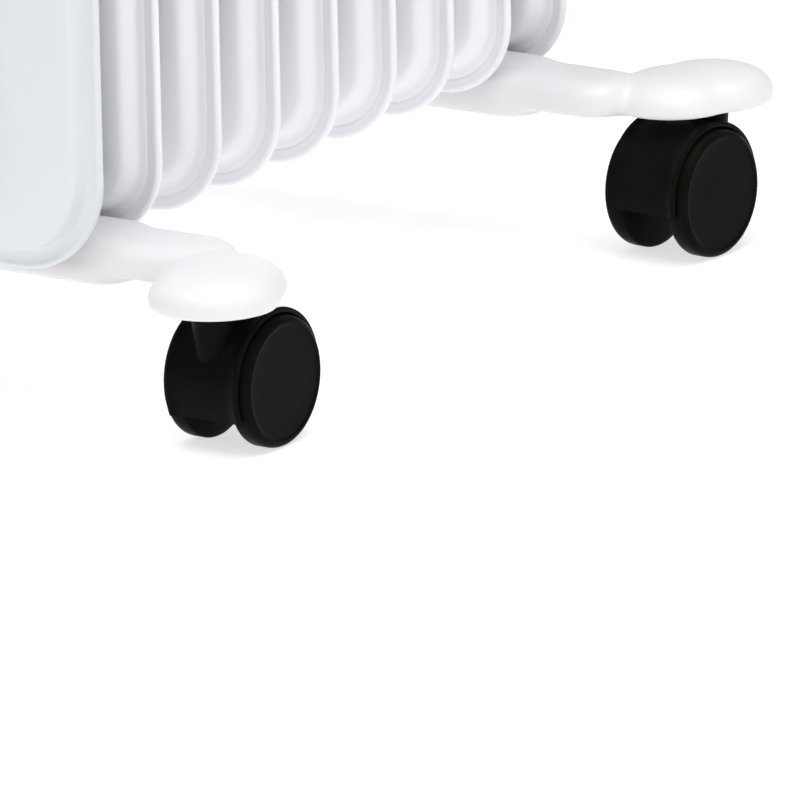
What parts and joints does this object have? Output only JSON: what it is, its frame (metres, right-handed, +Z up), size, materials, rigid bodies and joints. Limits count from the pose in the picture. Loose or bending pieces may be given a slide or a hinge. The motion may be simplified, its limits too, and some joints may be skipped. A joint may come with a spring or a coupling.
{
  "type": "oil filled radiator heater",
  "caption": "Finned oil filled radiator heater with a shallow front cover, a control housing with a carry handle, and foot bars on swivel casters.",
  "frame": {"origin": "centre of the bounding box in X and Y, on the floor at the bottom of the wheels", "axes": "+X across the fins, +Y from the control end to the rear end, +Z up"},
  "size_m": [0.317, 0.4604, 0.652],
  "materials": {
    "fin_paint": "gloss",
    "cover_paint": "gloss",
    "foot_white": "satin gloss",
    "housing_white": "satin gloss",
    "fascia_grey": "satin",
    "knob_grey": "satin",
    "handle_grey": "satin",
    "rocker_black": "gloss",
    "switch_black": "satin",
    "gland_black": "satin",
    "lens_red": "gloss",
    "inner_plastic": "matt",
    "element_steel": "satin",
    "bright_steel": "zinc plated",
    "brass_fitting": "machined",
    "gasket_rubber": "matt",
    "caster_black": "satin",
    "wheel_black": "satin"
  },
  "bodies": {
    "heater": {"fin_1": "fin_paint", "fin_2": "fin_paint", "fin_3": "fin_paint", "fin_4": "fin_paint", "fin_5": "fin_paint", "fin_6": "fin_paint", "fin_7": "fin_paint", "fin_8": "fin_paint", "fin_9": "fin_paint", "heating_element": "element_steel", "element_flange": "brass_fitting", "flange_gasket": "gasket_rubber", "oil_filler_plug": "bright_steel", "front_cover": "cover_paint", "cover_brackets": "bright_steel", "cover_screws": "bright_steel", "control_housing": "housing_white", "housing_screws": "bright_steel", "control_fascia": "fascia_grey", "thermostat_body": "inner_plastic", "low_power_switch_body": "switch_black", "high_power_switch_body": "switch_black", "lamp_lens": "lens_red", "lamp_holder": "switch_black", "terminal_block": "inner_plastic", "thermal_cutout": "switch_black", "tilt_switch": "switch_black", "cable_gland": "gland_black", "carry_handle": "handle_grey", "handle_screws": "bright_steel", "front_foot_bar": "foot_white", "rear_foot_bar": "foot_white", "foot_u_bolts": "bright_steel", "foot_wing_nuts": "bright_steel", "caster_stems": "bright_steel", "caster_grip_rings": "bright_steel"},
    "thermostat_dial": {"thermostat_knob": "knob_grey", "thermostat_shaft": "bright_steel"},
    "low_power_switch": {"low_power_rocker": "rocker_black"},
    "high_power_switch": {"high_power_rocker": "rocker_black"},
    "front_right_caster": {"front_right_caster_hood": "caster_black", "front_right_axle": "bright_steel"},
    "front_right_outer_wheel_body": {"front_right_outer_wheel": "wheel_black"},
    "front_right_inner_wheel_body": {"front_right_inner_wheel": "wheel_black"},
    "front_left_caster": {"front_left_caster_hood": "caster_black", "front_left_axle": "bright_steel"},
    "front_left_outer_wheel_body": {"front_left_outer_wheel": "wheel_black"},
    "front_left_inner_wheel_body": {"front_left_inner_wheel": "wheel_black"},
    "rear_right_caster": {"rear_right_caster_hood": "caster_black", "rear_right_axle": "bright_steel"},
    "rear_right_outer_wheel_body": {"rear_right_outer_wheel": "wheel_black"},
    "rear_right_inner_wheel_body": {"rear_right_inner_wheel": "wheel_black"},
    "rear_left_caster": {"rear_left_caster_hood": "caster_black", "rear_left_axle": "bright_steel"},
    "rear_left_outer_wheel_body": {"rear_left_outer_wheel": "wheel_black"},
    "rear_left_inner_wheel_body": {"rear_left_inner_wheel": "wheel_black"}
  },
  "joints": [
    {"name": "thermostat_turn", "type": "hinge", "parent": "heater", "child": "thermostat_dial", "pos_m": [0, -0.2202, 0.5388], "axis": [0, 1, 0], "range_deg": [-150, 150]},
    {"name": "low_power_rock", "type": "hinge", "parent": "heater", "child": "low_power_switch", "pos_m": [-0.024, -0.204, 0.4508], "axis": [1, 0, 0], "range_deg": [-14, 0]},
    {"name": "high_power_rock", "type": "hinge", "parent": "heater", "child": "high_power_switch", "pos_m": [0.024, -0.204, 0.4508], "axis": [1, 0, 0], "range_deg": [-14, 0]},
    {"name": "front_right_swivel", "type": "hinge", "parent": "heater", "child": "front_right_caster", "pos_m": [0.1325, -0.1498, 0.045], "axis": [0, 0, 1], "continuous": true},
    {"name": "front_right_outer_spin", "type": "hinge", "parent": "front_right_caster", "child": "front_right_outer_wheel_body", "pos_m": [0.13281, -0.1318, 0.0255], "axis": [0.9998, -0.0175, 0], "continuous": true},
    {"name": "front_right_inner_spin", "type": "hinge", "parent": "front_right_caster", "child": "front_right_inner_wheel_body", "pos_m": [0.13281, -0.1318, 0.0255], "axis": [0.9998, -0.0175, 0], "continuous": true},
    {"name": "front_left_swivel", "type": "hinge", "parent": "heater", "child": "front_left_caster", "pos_m": [-0.1325, -0.1498, 0.045], "axis": [0, 0, 1], "continuous": true},
    {"name": "front_left_outer_spin", "type": "hinge", "parent": "front_left_caster", "child": "front_left_outer_wheel_body", "pos_m": [-0.13407, -0.13187, 0.0255], "axis": [0.9962, 0.0872, 0], "continuous": true},
    {"name": "front_left_inner_spin", "type": "hinge", "parent": "front_left_caster", "child": "front_left_inner_wheel_body", "pos_m": [-0.13407, -0.13187, 0.0255], "axis": [0.9962, 0.0872, 0], "continuous": true},
    {"name": "rear_right_swivel", "type": "hinge", "parent": "heater", "child": "rear_right_caster", "pos_m": [0.1325, 0.2012, 0.045], "axis": [0, 0, 1], "continuous": true},
    {"name": "rear_right_outer_spin", "type": "hinge", "parent": "rear_right_caster", "child": "rear_right_outer_wheel_body", "pos_m": [0.13124, 0.18324, 0.0255], "axis": [-0.9976, 0.0698, 0], "continuous": true},
    {"name": "rear_right_inner_spin", "type": "hinge", "parent": "rear_right_caster", "child": "rear_right_inner_wheel_body", "pos_m": [0.13124, 0.18324, 0.0255], "axis": [-0.9976, 0.0698, 0], "continuous": true},
    {"name": "rear_left_swivel", "type": "hinge", "parent": "heater", "child": "rear_left_caster", "pos_m": [-0.1325, 0.2012, 0.045], "axis": [0, 0, 1], "continuous": true},
    {"name": "rear_left_outer_spin", "type": "hinge", "parent": "rear_left_caster", "child": "rear_left_outer_wheel_body", "pos_m": [-0.13124, 0.18324, 0.0255], "axis": [-0.9976, -0.0698, 0], "continuous": true},
    {"name": "rear_left_inner_spin", "type": "hinge", "parent": "rear_left_caster", "child": "rear_left_inner_wheel_body", "pos_m": [-0.13124, 0.18324, 0.0255], "axis": [-0.9976, -0.0698, 0], "continuous": true}
  ]
}
